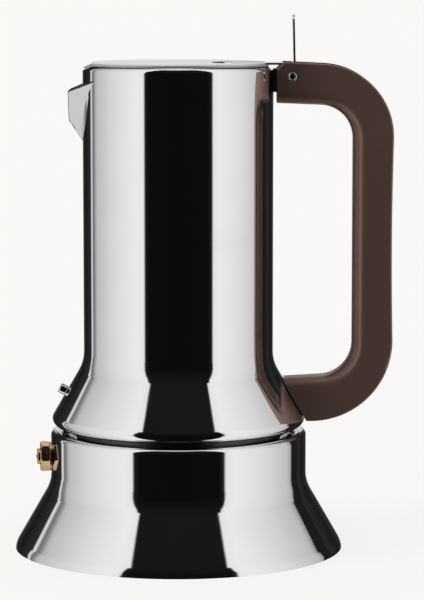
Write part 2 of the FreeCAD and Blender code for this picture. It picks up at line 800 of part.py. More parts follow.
def repeat_round(body, name, feature, count):
    """Copies of a feature round the Z axis."""
    copies = body.newObject("PartDesign::PolarPattern", name)
    copies.Originals = [feature]
    copies.Axis = ([f for f in body.Origin.OriginFeatures if f.Role == "Z_Axis"][0], [""])
    copies.Angle = 360
    copies.Occurrences = count
    body.Tip = copies


def perforate(body, low, reach):
    """Rings of holes round the middle of a plate, as many as its radius takes."""
    depth = low + 2 * d.filter_thickness
    pocket(body, "XY_Plane", "hole_0", depth, circle=(0, 0, d.hole_radius), symmetric=False)
    for ring in range(1, HOLE_RINGS):
        if ring * d.hole_pitch.value > reach.value:
            break
        spot = (d.hole_pitch * ring, 0, d.hole_radius)
        hole = pocket(body, "XY_Plane", f"hole_{ring}", depth, circle=spot, symmetric=False)
        repeat_round(body, f"ring_{ring}", hole, HOLES_PER_RING * ring)


def make_plate(label, radius, low):
    """Round perforated plate lying at a height."""
    body = new_body(label)
    pad(body, "XY_Plane", "disc", d.filter_thickness, circle=(0, 0, radius), symmetric=False, start=low)
    return body


def make_funnel_screen():
    inside = d.basket_radius - d.funnel_wall - d.braze_gap
    low = d.neck_top - d.basket_depth
    body = make_plate("funnel_screen", inside, low)
    perforate(body, low, inside - d.screen_ledge - d.hole_radius)
    return body


# Collector


def make_pot_body():
    body = new_body("pot_blank")
    wall = d.pot_wall
    edge = d.skirt_radius - d.skirt_round - d.skirt_return
    inner_corner = skirt_at(d.skirt_low + wall, wall)
    rim_edge = d.pot_radius - d.rim_round - d.rim_turn
    bend = d.skirt_low + (d.skirt_corner - d.pot_radius) / d.slant
    inner_bend = d.skirt_low + (d.skirt_corner - wall * d.across - d.pot_radius + wall) / d.slant
    revolve(
        body,
        [
            (edge, d.skirt_low),
            (d.skirt_corner, d.skirt_low, d.skirt_round),
            (d.pot_radius, bend, d.pot_blend),
            (d.pot_radius, d.rim_height, d.rim_round),
            (rim_edge, d.rim_height),
            (rim_edge, d.rim_height - wall),
            (d.pot_radius - wall, d.rim_height - wall, d.rim_round - wall),
            (d.pot_radius - wall, inner_bend, d.pot_blend + wall),
            (inner_corner, d.skirt_low + wall, d.skirt_round - wall),
            (edge, d.skirt_low + wall),
        ],
    )
    over = d.rim_height + d.lid_sheet
    lip_start = d.lip_chord - d.lid_sheet
    lip_top = d.rim_height - d.lip_room + d.lid_sheet * tangent(d.lip_angle)
    lip_low = lip_top - (d.spout_reach - lip_start) * tangent(d.lip_angle)
    slope = [(-lip_start, lip_top), (-d.spout_reach, lip_low), (-d.spout_reach, over), (-lip_start, over)]
    pocket(body, "XZ_Plane", "lip_notch", 2 * (d.lip_half + d.lid_sheet), corners=slope)
    hinge_half = d.strap_width / 2 + d.recess_side + d.lid_sheet + d.hinge_side
    notch(body, "hinge_notch", hinge_half, d.rim_height - d.lid_sheet - d.hinge_room, over)
    slot_half = d.catch_width / 2 + d.rear_slot_play
    slot_low = d.hook_top - d.catch_sheet - d.rear_slot_play
    notch(body, "rear_slot", slot_half, slot_low, d.hook_top + d.rear_slot_play)
    window = [
        (0, d.window_low, d.window_round),
        (d.window_half_width, d.window_top, d.window_round),
        (-d.window_half_width, d.window_top, d.window_round),
    ]
    pocket(body, "YZ_Plane", "window", d.base_radius, corners=window, symmetric=False, toward=-1)
    rivet_hole = solid("Cylinder", "rivet_hole", Radius=d.rivet_radius + d.braze_gap, Height=d.skirt_radius)
    on_rivet_axis(rivet_hole, -d.skirt_radius / 2)
    return combine("Cut", "pot_body", body, rivet_hole)


def notch(body, name, half, low, high):
    """Rectangular cut through the wall on the handle's side."""
    corners = [(-half, low), (half, low), (half, high), (-half, high)]
    pocket(body, "YZ_Plane", name, d.base_radius, corners=corners, symmetric=False, toward=1)


def make_pot_floor():
    body = new_body("pot_floor")
    wall = d.floor_wall
    plate_seat = d.filter_radius + d.braze_gap
    recess = d.gasket_top + d.filter_thickness
    middle = d.gasket_top + d.floor_rise
    fall = d.gasket_bore - d.floor_ledge
    rim_top = recess + wall
    gap = d.pot_wall + d.braze_gap
    revolve(
        body,
        [
            (skirt_at(d.gasket_top, gap), d.gasket_top),
            (skirt_at(rim_top, gap), rim_top),
            (fall, rim_top),
            (d.floor_flat, middle + wall),
            (d.column_bore, middle + wall),
            (d.column_bore, middle),
            (d.floor_flat, middle),
            (fall, recess),
            (plate_seat, recess),
            (plate_seat, d.gasket_top),
        ],
    )
    return body


def make_coffee_column():
    body = new_body("coffee_column")
    low = d.column_low
    outside = d.column_radius
    revolve(
        body,
        [
            (d.column_bore, low),
            (outside + d.column_foot, low),
            (outside, low + d.column_foot),
            (outside, d.column_top),
            (d.column_bore, d.column_top),
        ],
    )
    return body


def make_column_cap():
    body = new_body("column_cap")
    inside = d.column_radius + d.braze_gap
    outside = inside + d.cap_wall
    low = d.column_top - d.cap_overlap
    top = d.column_top + d.cap_height
    revolve(
        body,
        [
            (d.column_bore, d.column_top),
            (inside, d.column_top),
            (inside, low),
            (outside, low),
            (outside, top, d.cap_wall),
            (0, top),
            (0, top - d.cap_wall),
            (d.column_bore, top - d.cap_wall),
        ],
    )
    half = d.outlet_width / 2
    sill = d.column_top + d.cap_wall
    head = top - 2 * d.cap_wall
    outlet = [(-half, sill), (half, sill), (half, head), (-half, head)]
    hole = pocket(body, "YZ_Plane", "outlet", 2 * outside, corners=outlet, symmetric=False)
    repeat_round(body, "outlets", hole, CAP_OUTLETS)
    return body


def make_gasket():
    body = new_body("gasket")
    outside = d.neck_radius
    revolve(
        body,
        [
            (d.gasket_bore, d.neck_top),
            (outside, d.neck_top),
            (outside, d.gasket_top),
            (d.gasket_bore, d.gasket_top),
        ],
    )
    return body


def make_filter_plate():
    body = make_plate("filter_plate", d.filter_radius, d.gasket_top)
    perforate(body, d.gasket_top, d.gasket_bore - d.hole_pitch / 2)
    return body


# Spout


def beak(name, inset):
    """Solid between the beak's two panels, a distance inside their outer faces, drawn out along the keel."""
    apex = inset / sine(d.panel_spread)
    far = 2 * d.pot_radius
    half = (far - apex) * tangent(d.panel_spread)
    return prism(
        name,
        4 * d.pot_radius,
        [(apex, 0, d.keel_round - inset), (far, -half), (far, half)],
        x=-d.spout_reach,
        z=d.spout_tip_low,
        pitch=d.keel_fall - 90,
    )


def make_spout():
    outside = beak("beak_outside", as_size(0))
    hollow = beak("beak_hollow", d.spout_sheet)
    shell = combine("Cut", "spout_shell", outside, hollow)
    reach = 2 * d.spout_reach
    root = d.pot_radius * SPOUT_ROOT
    room = solid("Box", "spout_room", Length=d.spout_reach - root, Width=reach, Height=d.rim_height)
    place(room, x=-d.spout_reach, y=-d.spout_reach)
    panels = combine("MultiCommon", "spout_panels", shell, room)
    seat = solid("Cylinder", "spout_seat", Radius=d.pot_radius + d.braze_gap, Height=d.rim_height)
    fitted = combine("Cut", "spout_fitted", panels, seat)
    rise = d.spout_reach * tangent(d.spout_top_slope)
    above = d.rim_height + d.spout_reach
    cover = prism(
        "spout_trim",
        reach,
        [(-reach, d.spout_tip_top - rise), (0, d.spout_tip_top + rise), (0, above), (-reach, above)],
        roll=90,
    )
    return combine("Cut", "spout", fitted, cover)


# Hinge


def pin_cylinder(name, radius, length):
    """Cylinder along the hinge axis, centred on the middle plane."""
    made = solid("Cylinder", name, Radius=radius, Height=length)
    place(made, x=d.pin_x, y=length / 2, z=d.pin_z, roll=90)
    return made


def make_hinge_bracket():
    arm = solid(
        "Box",
        "bracket_arm",
        Length=d.pin_x - d.bracket_setback,
        Width=d.bracket_width,
        Height=d.bracket_top - d.bracket_low,
    )
    place(arm, y=-d.bracket_width / 2, z=d.bracket_low)
    knuckle = pin_cylinder("bracket_knuckle", d.knuckle_radius, d.bracket_width)
    blank = combine("MultiFuse", "bracket_blank", arm, knuckle)
    pot_solid = solid("Cylinder", "bracket_seat", Radius=d.pot_radius + d.braze_gap, Height=d.rim_height)
    seated = combine("Cut", "bracket_seated", blank, pot_solid)
    hole = pin_cylinder("bracket_hole", d.pin_radius, d.bracket_width)
    return combine("Cut", "hinge_bracket", seated, hole)


def make_hinge_pin():
    length = d.handle_width + 2 * d.pin_proud
    blank = pin_cylinder("pin_blank", d.pin_radius, length)
    hollow = pin_cylinder("pin_hollow", d.pin_bore, length)
    core = pin_cylinder("pin_core", d.pin_bore, length - 2 * d.pin_dimple)
    dimples = combine("Cut", "pin_dimples", hollow, core)
    return combine("Cut", "hinge_pin", blank, dimples)


# Lid


def lid_slot(name, start, half, low, high, corner):
    """Solid of a U-shaped recess that runs from its rounded inner end out over the rim."""
    end = d.pin_x
    return prism(
        name,
        high - low,
        [(end, -half), (end, half), (start, half, corner), (start, -half, corner)],
        z=(low + high) / 2,
    )


def make_lid_plate():
    end = d.pot_radius
    bent = prism(
        "lid_bent_sheet",
        2 * d.pot_radius,
        [
            (d.pot_radius, d.lid_low),
            (d.pot_radius, d.lid_top),
            (-d.lip_chord, d.lid_top),
            (-end, d.lid_top - d.lip_fall),
            (-end, d.lid_low - d.lip_fall),
            (-d.lip_chord, d.lid_low),
        ],
        roll=90,
    )
    half = d.strap_width / 2 + d.recess_side
    tray = lid_slot(
        "lid_tray",
        d.recess_start - d.lid_sheet,
        half + d.lid_sheet,
        d.lid_low - d.lid_sheet,
        d.lid_top,
        d.recess_corner + d.lid_sheet,
    )
    tall = 2 * d.rim_height
    circle = solid("Cylinder", "lid_circle", Radius=d.lid_radius, Height=tall)
    lip_circle = solid("Cylinder", "lip_circle", Radius=d.lip_radius, Height=tall)
    lip_strip = solid("Box", "lip_strip", Length=d.lip_radius, Width=2 * d.lip_half, Height=tall)
    place(lip_strip, x=-d.lip_radius, y=-d.lip_half)
    lip = combine("MultiCommon", "lid_lip", lip_circle, lip_strip)
    plan = combine("MultiFuse", "lid_plan", circle, lip)
    pressed = combine("MultiFuse", "lid_pressed", bent, tray)
    disc = combine("MultiCommon", "lid_disc", pressed, plan)
    over = d.lid_top + d.lid_sheet
    hollow = lid_slot("lid_hollow", d.recess_start, half, d.lid_low, over, d.recess_corner)
    return combine("Cut", "lid_plate", disc, hollow)


def make_lid_strap():
    body = new_body("lid_strap")
    t = d.lid_sheet
    lean = (d.lever_top - d.lid_low) * tangent(d.lever_lean)
    pad(
        body,
        "XZ_Plane",
        "strip",
        d.strap_width,
        corners=[
            (d.strap_start, d.lid_low),
            (d.lever_x + t, d.lid_low, d.lever_bend + t),
            (d.lever_x + t - lean, d.lever_top),
            (d.lever_x - lean, d.lever_top),
            (d.lever_x, d.lid_top, d.lever_bend),
            (d.strap_start, d.lid_top),
        ],
    )
    top = d.lever_top.value
    start = d.strap_start.value

    def is_corner(edge):
        middle = edge.CenterOfMass
        at_side = abs(abs(middle.y) - d.strap_width.value / 2) < NEAR
        return at_side and (abs(middle.z - top) < NEAR or abs(middle.x - start) < NEAR)

    round_edges(body, "corners", d.strap_corner, is_corner)
    outer = d.strap_width / 2 - d.ear_inset
    back = d.pin_x - d.ear_radius
    front = d.pin_x + d.ear_radius
    foot = d.pin_z - d.ear_radius
    crook = d.ear_radius - d.ear_inset
    for side in (1, -1):
        pad(
            body,
            "XZ_Plane",
            f"ear_{'near' if side > 0 else 'far'}",
            t,
            corners=[
                (back, d.lid_low + t / 2),
                (back, foot, crook),
                (front, foot, crook),
                (front, d.pin_z + d.ear_inset),
                (d.lever_x, d.lid_low + t / 2),
            ],
            start=(outer - t / 2) * side,
        )
    pocket(
        body, "XZ_Plane", "pin_hole", d.strap_width, circle=(d.pin_x, d.pin_z, d.pin_radius + d.pin_fit)
    )
    return body


# Handle


def make_handle():
    body = new_body("handle_blank")
    inner_x = d.handle_out - d.grip_thickness
    under = d.handle_top - d.top_bar
    over = d.handle_low + d.low_bar
    gap_low = over - d.low_bar_fall
    low_end = skirt_at(over) - d.handle_gap
    half = (d.handle_top - d.handle_low) / 2
    straight = half - d.low_bend
    lean = 2 * d.grip_waist / straight
    waist_round = (straight - d.waist_flat) / lean
    pad(
        body,
        "XZ_Plane",
        "bow",
        d.handle_width,
        corners=[
            (d.handle_near, d.handle_top - d.end_chamfer),
            (d.handle_near + d.end_chamfer, d.handle_top),
            (d.handle_out + lean * d.outer_bend, d.handle_top - d.top_fall, d.outer_bend),
            (d.handle_out - 2 * d.grip_waist, d.handle_low + half, waist_round),
            (d.handle_out + lean * d.low_bend, d.handle_low, d.low_bend),
            (low_end, d.handle_low),
            (low_end, gap_low),
            (inner_x, over, d.inner_bend),
            (inner_x, under - d.under_fall, d.inner_bend),
            (d.handle_near, under),
        ],
    )
    side = d.handle_width.value / 2

    def on_side(edge):
        box = edge.BoundBox
        return abs(abs(box.YMin) - side) < NEAR and box.YLength < NEAR

    def in_gap(edge):
        box = edge.BoundBox
        between = box.ZMax < under.value + NEAR and box.ZMin > gap_low.value - NEAR
        return on_side(edge) and between and box.XMax < inner_x.value + NEAR

    def outside(edge):
        box = edge.BoundBox
        on_end = box.XLength < NEAR and box.XMax < inner_x.value
        return on_side(edge) and not in_gap(edge) and not on_end

    round_edges(body, "finger_gap", d.inner_edge_round, in_gap)
    round_edges(body, "outside", d.outer_edge_round, outside)
    low = d.handle_low - d.low_bar
    high = over + d.low_bar
    gap = -d.handle_gap
    groove(body, [(0, low), (skirt_at(low, gap), low), (skirt_at(high, gap), high), (0, high)], "foot_seat")
    swing = d.lever_top - d.pin_z
    slot_end = d.pin_x + swing + d.slot_end_gap
    above = d.handle_top + d.top_bar
    slot = [(0, d.slot_floor), (slot_end, d.slot_floor, d.slot_round), (slot_end, above), (0, above)]
    pocket(body, "XZ_Plane", "lever_slot", d.slot_width, corners=slot)
    hinge_hole = (d.pin_x, d.pin_z, d.pin_radius + d.pin_fit)
    pocket(body, "XZ_Plane", "pin_hole", 2 * d.handle_width, circle=hinge_hole)
    leaf_low = d.hook_top - d.catch_sheet
    root_x = skirt_at(d.hook_top) + d.rear_catch_root
    leaf = [(0, leaf_low), (root_x, leaf_low), (root_x, d.hook_top), (0, d.hook_top)]
    pocket(body, "XZ_Plane", "leaf_slot", d.catch_width, corners=leaf)
    return combine("Cut", "handle", body, screw_set("screw_room", d.braze_gap))


# Catches


def screw_set(name, room):
    """Both screws of the rear catch, from the handle's underside up through the leaf."""
    screw_x = skirt_at(d.hook_top) + d.rear_catch_root / 2
    shank_low = d.handle_low + d.screw_head / 2
    length = d.hook_top + d.screw_grip - shank_low
    pieces = []
    for side, word in ((1, "far"), (-1, "near")):
        wide = d.screw_head_radius + room
        head = solid("Cylinder", f"{name}_head_{word}", Radius=wide, Height=d.screw_head)
        place(head, x=screw_x, y=d.screw_spread * side, z=d.handle_low)
        shank = solid("Cylinder", f"{name}_shank_{word}", Radius=d.screw_radius + room, Height=length)
        place(shank, x=screw_x, y=d.screw_spread * side, z=shank_low)
        pieces += [head, shank]
    return combine("MultiFuse", name, *pieces)


def make_catch_screws():
    return screw_set("catch_screws", as_size(0))


def make_rear_catch():
    body = new_body("rear_leaf")
    tip = d.flange_radius - d.catch_lap
    root_x = skirt_at(d.hook_top) + d.rear_catch_root
    low = d.hook_top - d.catch_sheet
    pad(
        body,
        "XZ_Plane",
        "leaf",
        d.catch_width,
        corners=[(tip, low), (root_x, low), (root_x, d.hook_top), (tip, d.hook_top)],
    )
    return combine("Cut", "rear_catch", body, screw_set("leaf_holes", d.braze_gap))


def on_rivet_axis(piece, offset):
    """Stand a round piece square to the skirt on the spout's side, an offset out from its outer face."""
    radius = skirt_at(d.stud_height)
    place(
        piece,
        x=-(radius + offset * cosine(d.flare_angle)),
        z=d.stud_height + offset * sine(d.flare_angle),
        pitch=d.flare_angle - 90,
    )
    return piece


def make_front_catch():
    body = new_body("front_leaf")
    t = d.catch_sheet
    gap = d.pot_wall + d.catch_back
    low = d.hook_top - t
    top = d.gasket_top - d.catch_play
    tip = d.flange_radius - d.catch_lap
    pad(
        body,
        "XZ_Plane",
        "leaf",
        d.catch_width,
        corners=[
            (-skirt_at(top, gap), top),
            (-skirt_at(low, gap), low, t + d.catch_play),
            (-tip, low),
            (-tip, d.hook_top),
            (-skirt_at(d.hook_top, gap + t), d.hook_top, d.catch_play),
            (-skirt_at(top, gap + t), top),
        ],
    )
    hole = solid("Cylinder", "front_leaf_hole", Radius=d.rivet_radius + d.braze_gap, Height=d.skirt_radius)
    on_rivet_axis(hole, -d.skirt_radius / 2)
    return combine("Cut", "front_catch", body, hole)


def make_catch_stud():
    stack = d.pot_wall + d.catch_back + d.catch_sheet
    body = new_body("catch_stud")
    tail = -stack - d.rivet_tail
    revolve(
        body,
        [
            (0, tail),
            (d.stud_radius, tail),
            (d.stud_radius, -stack),
            (d.rivet_radius, -stack),
            (d.rivet_radius, d.braze_gap),
            (d.stud_radius, d.braze_gap),
            (d.stud_radius, d.stud_head, d.stud_edge),
            (0, d.stud_head),
        ],
    )
    return on_rivet_axis(body, 0)


MAKERS = [
    make_boiler_shell,
    make_base_disc,
    make_boiler_neck,
    make_valve_body,
    make_valve_washer,
    make_valve_nut,
    make_valve_poppet,
    make_valve_spring,
    make_funnel,
    make_funnel_screen,
    make_pot_body,
    make_pot_floor,
    make_coffee_column,
    make_column_cap,
    make_gasket,
    make_filter_plate,
    make_spout,
    make_hinge_bracket,
    make_hinge_pin,
    make_lid_plate,
    make_lid_strap,
    make_handle,
    make_rear_catch,
    make_catch_screws,
    make_front_catch,
    make_catch_stud,
]

parts = [make() for make in MAKERS]
doc.recompute()

for made in doc.Objects:
    if "Invalid" in made.State or "Error" in made.State:
        raise RuntimeError(f"{made.Label} failed: {made.State}")
for made in parts:
    if made.Shape.isNull() or not made.Shape.isValid() or not made.Shape.Solids:
        raise RuntimeError(f"{made.Label} has no valid solid")

os.makedirs("parts", exist_ok=True)
for made in parts:
    made.Shape.exportStep(os.path.join("parts", f"{made.Label}.step"))
    print(f"{made.Label}: {len(made.Shape.Solids)} solid, {made.Shape.Volume / 1000:.2f} cm3")
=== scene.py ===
"""Dresses a stove-top moka pot: its finishes, its rounded edges and the studio that it stands in.

Metres, origin at the middle of the resting face, +Z up, handle towards +X, spout towards -X,
viewer towards -Y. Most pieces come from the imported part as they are. Small pieces whose edges
catch the light stand here as copies with rounded edges, and the beak is bent from its own sheet.
"""

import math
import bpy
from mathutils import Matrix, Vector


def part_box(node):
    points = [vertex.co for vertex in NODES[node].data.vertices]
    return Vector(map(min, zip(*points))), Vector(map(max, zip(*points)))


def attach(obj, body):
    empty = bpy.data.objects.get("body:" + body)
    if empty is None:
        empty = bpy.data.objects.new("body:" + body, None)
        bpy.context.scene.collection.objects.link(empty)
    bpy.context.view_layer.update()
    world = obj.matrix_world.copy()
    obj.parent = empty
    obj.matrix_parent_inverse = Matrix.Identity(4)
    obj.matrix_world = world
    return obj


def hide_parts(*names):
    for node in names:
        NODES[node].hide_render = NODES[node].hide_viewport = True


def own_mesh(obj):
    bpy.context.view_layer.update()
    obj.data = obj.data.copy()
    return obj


bl_info = {
    "name": "Moka pot dressing",
    "version": (1, 0, 0),
    "blender": (4, 5, 0),
    "location": "3D View > Sidebar > Moka pot",
    "description": "Finishes, rounded edges and studio of a stove-top moka pot",
    "category": "Object",
}

import bpy
from mathutils import Vector

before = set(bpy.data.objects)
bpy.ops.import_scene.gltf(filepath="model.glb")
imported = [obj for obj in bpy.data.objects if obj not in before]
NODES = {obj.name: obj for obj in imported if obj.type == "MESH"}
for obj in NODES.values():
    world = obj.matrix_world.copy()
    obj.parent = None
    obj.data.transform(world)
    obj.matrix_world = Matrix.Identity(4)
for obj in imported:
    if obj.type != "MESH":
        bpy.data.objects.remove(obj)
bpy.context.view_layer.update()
MM = 0.001


# Settings


class MokaFinishSettings(bpy.types.PropertyGroup):
    """Colours and gloss of the pot's finishes."""

    steel: bpy.props.FloatVectorProperty(
        name="Steel",
        description="Polished steel of the boiler, the collector and the lid",
        subtype="COLOR",
        default=(0.78, 0.78, 0.775),
        min=0.0,
        max=1.0,
    )
    steel_gloss: bpy.props.FloatProperty(
        name="Steel roughness",
        description="Roughness of the mirror polish where it is cleanest",
        subtype="FACTOR",
        default=0.025,
        min=0.0,
        max=1.0,
    )
    plain_steel: bpy.props.FloatVectorProperty(
        name="Plain steel",
        description="Turned and stamped steel of the inner pieces",
        subtype="COLOR",
        default=(0.62, 0.61, 0.6),
        min=0.0,
        max=1.0,
    )
    brass: bpy.props.FloatVectorProperty(
        name="Brass",
        description="Safety valve",
        subtype="COLOR",
        default=(0.76, 0.5, 0.28),
        min=0.0,
        max=1.0,
    )
    rubber: bpy.props.FloatVectorProperty(
        name="Rubber",
        description="Sealing ring",
        subtype="COLOR",
        default=(0.58, 0.56, 0.52),
        min=0.0,
        max=1.0,
    )
    brown: bpy.props.FloatVectorProperty(
        name="Brown coat",
        description="Metallic coat of the handle",
        subtype="COLOR",
        default=(0.25, 0.15, 0.123),
        min=0.0,
        max=1.0,
    )
    black: bpy.props.FloatVectorProperty(
        name="Black coat",
        description="Coat of the hinge bracket",
        subtype="COLOR",
        default=(0.016, 0.016, 0.017),
        min=0.0,
        max=1.0,
    )


class MokaStageSettings(bpy.types.PropertyGroup):
    """Camera, floor and light round the pot."""

    camera_place: bpy.props.FloatVectorProperty(
        name="Camera",
        description="Where the camera stands",
        subtype="TRANSLATION",
        default=(0.01308, -1.116, 0.2297),
    )
    camera_pitch: bpy.props.FloatProperty(
        name="Camera pitch",
        description="How far the camera looks down",
        subtype="ANGLE",
        default=math.radians(6.797),
    )
    camera_lens: bpy.props.FloatProperty(
        name="Lens",
        description="Focal length",
        subtype="DISTANCE_CAMERA",
        default=173.54,
        min=1.0,
    )
    backdrop: bpy.props.FloatVectorProperty(
        name="Backdrop",
        description="Colour behind the pot",
        subtype="COLOR",
        default=(0.957, 0.949, 0.932),
        min=0.0,
        max=1.0,
    )
    floor: bpy.props.FloatVectorProperty(
        name="Floor",
        description="Colour of the floor",
        subtype="COLOR",
        default=(0.93, 0.922, 0.906),
        min=0.0,
        max=1.0,
    )
    floor_glow: bpy.props.FloatProperty(
        name="Floor glow",
        description="Share of the floor that shows the backdrop's colour whatever falls on it",
        subtype="FACTOR",
        default=0.8,
        min=0.0,
        max=1.0,
    )
    fill: bpy.props.FloatProperty(
        name="Fill light",
        description="Level of the even light from all round",
        default=0.86,
        min=0.0,
    )
    sun: bpy.props.FloatProperty(
        name="Key light",
        description="Strength of the lamp on the spout's side",
        subtype="POWER",
        default=0.75,
        min=0.0,
    )


# Node trees


class Tree:
    """A node tree with short calls to add nodes and link them."""

    def __init__(self, tree):
        self.tree = tree
        tree.nodes.clear()

    def add(self, kind, inputs=None, **settings):
        node = self.tree.nodes.new(kind)
        for name, value in settings.items():
            setattr(node, name, value)
        for socket, value in (inputs or {}).items():
            self.feed(node.inputs[socket], value)
        return node

    def feed(self, socket, value):
        if isinstance(value, bpy.types.NodeSocket):
            self.tree.links.new(value, socket)
        else:
            socket.default_value = value

    def math(self, operation, first, second=0.0, third=0.0):
        inputs = {0: first, 1: second, 2: third}
        return self.add("ShaderNodeMath", inputs, operation=operation).outputs[0]

    def span(self, value, low, high, to_low=0.0, to_high=1.0, smooth=False):
        """Value between low and high, brought to between to_low and to_high."""
        inputs = {"Value": value, "From Min": low, "From Max": high, "To Min": to_low, "To Max": to_high}
        kind = "SMOOTHSTEP" if smooth else "LINEAR"
        return self.add("ShaderNodeMapRange", inputs, interpolation_type=kind).outputs["Result"]

    def mix(self, share, first, second):
        """Colour between first and second; a mix node's colour sockets come after its other kinds."""
        inputs = {0: share, 6: first, 7: second}
        return self.add("ShaderNodeMix", inputs, data_type="RGBA").outputs[2]

    def tint(self, mask, colour, clean, worn):
        """A colour at its clean share where the mask is 0, and at its worn share where it is 1."""
        return self.mix(mask, shade_of(colour, clean), shade_of(colour, worn))

    def group(self, group, inputs):
        return self.add("ShaderNodeGroup", inputs, node_tree=group).outputs


def new_group(name, inputs, outputs):
    """Empty shader node group with named value sockets and a vector to place it by."""
    group = bpy.data.node_groups.new(name, "ShaderNodeTree")
    group.interface.new_socket("Vector", in_out="INPUT", socket_type="NodeSocketVector")
    for socket, default in inputs.items():
        made = group.interface.new_socket(socket, in_out="INPUT", socket_type="NodeSocketFloat")
        made.default_value = default
    for socket in outputs:
        group.interface.new_socket(socket, in_out="OUTPUT", socket_type="NodeSocketFloat")
    tree = Tree(group)
    return group, tree, tree.add("NodeGroupInput").outputs, tree.add("NodeGroupOutput").inputs


def make_turned_lines():
    """Fine rings round the pot's axis, as a lathe and a polishing wheel leave them."""
    group, tree, given, out = new_group("turned_lines", {"Per metre": 4000.0}, ["Lines"])
    parts = tree.add("ShaderNodeSeparateXYZ", {0: given["Vector"]}).outputs
    flat = tree.add("ShaderNodeCombineXYZ", {0: parts[0], 1: parts[1]}).outputs[0]
    radius = tree.add("ShaderNodeVectorMath", {0: flat}, operation="LENGTH").outputs["Value"]
    place = tree.add("ShaderNodeCombineXYZ", {0: radius, 1: parts[2]}).outputs[0]
    noise = tree.add(
        "ShaderNodeTexNoise",
        {"Vector": place, "Scale": given["Per metre"], "Detail": 3.0, "Roughness": 0.6},
        noise_dimensions="2D",
    )
    tree.feed(out["Lines"], noise.outputs["Fac"])
    return group


def make_smudges():
    """Large soft patches, where hands and cloths have dulled a surface."""
    inputs = {"Per metre": 30.0, "From": 0.45, "To": 0.75}
    group, tree, given, out = new_group("smudges", inputs, ["Patches"])
    noise = tree.add(
        "ShaderNodeTexNoise",
        {"Vector": given["Vector"], "Scale": given["Per metre"], "Detail": 4.0, "Distortion": 0.6},
    )
    patches = tree.span(noise.outputs["Fac"], given["From"], given["To"], smooth=True)
    tree.feed(out["Patches"], patches)
    return group


def make_fine_grain():
    """Tiny bumps and flecks of a sprayed coat or a moulded skin."""
    group, tree, given, out = new_group("fine_grain", {"Per metre": 2500.0}, ["Height", "Flecks"])
    where = {"Vector": given["Vector"], "Scale": given["Per metre"]}
    noise = tree.add("ShaderNodeTexNoise", {**where, "Detail": 2.0})
    cells = tree.add("ShaderNodeTexVoronoi", where)
    tree.feed(out["Height"], noise.outputs["Fac"])
    tree.feed(out["Flecks"], tree.span(cells.outputs["Distance"], 0.1, 0.7))
    return group


def make_hairlines():
    """Sparse fine scratches that run every way."""
    group, tree, given, out = new_group("hairlines", {"Per metre": 120.0}, ["Scratches"])
    bend = 0.02
    line_width = 0.012
    swirl = tree.add(
        "ShaderNodeTexNoise",
        {"Vector": given["Vector"], "Scale": given["Per metre"], "Detail": 0.0},
    )
    bent = tree.add(
        "ShaderNodeVectorMath",
        {0: swirl.outputs["Color"], 1: (bend, bend, bend), 2: given["Vector"]},
        operation="MULTIPLY_ADD",
    )
    cells = tree.add(
        "ShaderNodeTexVoronoi",
        {"Vector": bent.outputs[0], "Scale": given["Per metre"]},
        feature="DISTANCE_TO_EDGE",
    )
    tree.feed(out["Scratches"], tree.span(cells.outputs["Distance"], 0.0, line_width, 1.0, 0.0))
    return group


GROUP_MAKERS = {
    "turned_lines": make_turned_lines,
    "smudges": make_smudges,
    "fine_grain": make_fine_grain,
    "hairlines": make_hairlines,
}


def shared(name):
    """The node group of that name, made at its first use."""
    return bpy.data.node_groups.get(name) or GROUP_MAKERS[name]()


# Finishes


# Where most of a noise lies, and the whole of a mask.
NOISE_SPAN = (0.3, 0.7)
MASK_SPAN = (0.0, 1.0)


def new_finish(name, shader_values):
    """Material with one Principled shader, whose plain sockets get their values."""
    material = bpy.data.materials.new(name)
    material.use_nodes = True
    tree = Tree(material.node_tree)
    shader = tree.add("ShaderNodeBsdfPrincipled", shader_values)
    output = tree.add("ShaderNodeOutputMaterial")
    tree.feed(output.inputs["Surface"], shader.outputs[0])
    place = tree.add("ShaderNodeTexCoord").outputs["Object"]
    return material, tree, shader.inputs, place


def bump(tree, shader, height, strength, distance):
    """Lets a height tilt the shader's normals."""
    inputs = {"Strength": strength, "Distance": distance, "Height": height}
    tree.feed(shader["Normal"], tree.add("ShaderNodeBump", inputs).outputs["Normal"])


def shade_of(colour, share):
    """A share of a colour, with the alpha that a colour socket takes."""
    return tuple(part * share for part in colour) + (1.0,)


def make_mirror_steel(look):
    """Steel polished to a mirror, with faint wheel rings, dull patches and hairlines."""
    material, tree, shader, place = new_finish("mirror_steel_polish", {"Metallic": 1.0})
    lines = tree.group(shared("turned_lines"), {"Vector": place, "Per metre": 1500.0})["Lines"]
    patches = tree.group(shared("smudges"), {"Vector": place, "Per metre": 28.0})["Patches"]
    scratches = tree.group(shared("hairlines"), {"Vector": place, "Per metre": 160.0})["Scratches"]
    patch_dulling = 0.03
    scratch_dulling = 0.02
    dull = tree.math("MULTIPLY_ADD", patches, patch_dulling, look.steel_gloss)
    tree.feed(shader["Roughness"], tree.math("MULTIPLY_ADD", scratches, scratch_dulling, dull))
    tree.feed(shader["Base Color"], tree.tint(patches, look.steel, clean=1.0, worn=0.97))
    bump(tree, shader, lines, strength=0.02, distance=0.01 * MM)
    return material


def make_plain_steel(look):
    """Turned and stamped steel, left with its tool rings."""
    material, tree, shader, place = new_finish("plain_steel_turned", {"Metallic": 1.0})
    lines = tree.group(shared("turned_lines"), {"Vector": place, "Per metre": 5000.0})["Lines"]
    patches = tree.group(shared("smudges"), {"Vector": place, "Per metre": 60.0})["Patches"]
    tree.feed(shader["Base Color"], tree.tint(patches, look.plain_steel, clean=1.0, worn=0.85))
    tree.feed(shader["Roughness"], tree.span(lines, *NOISE_SPAN, to_low=0.2, to_high=0.34))
    bump(tree, shader, lines, strength=0.15, distance=0.05 * MM)
    return material


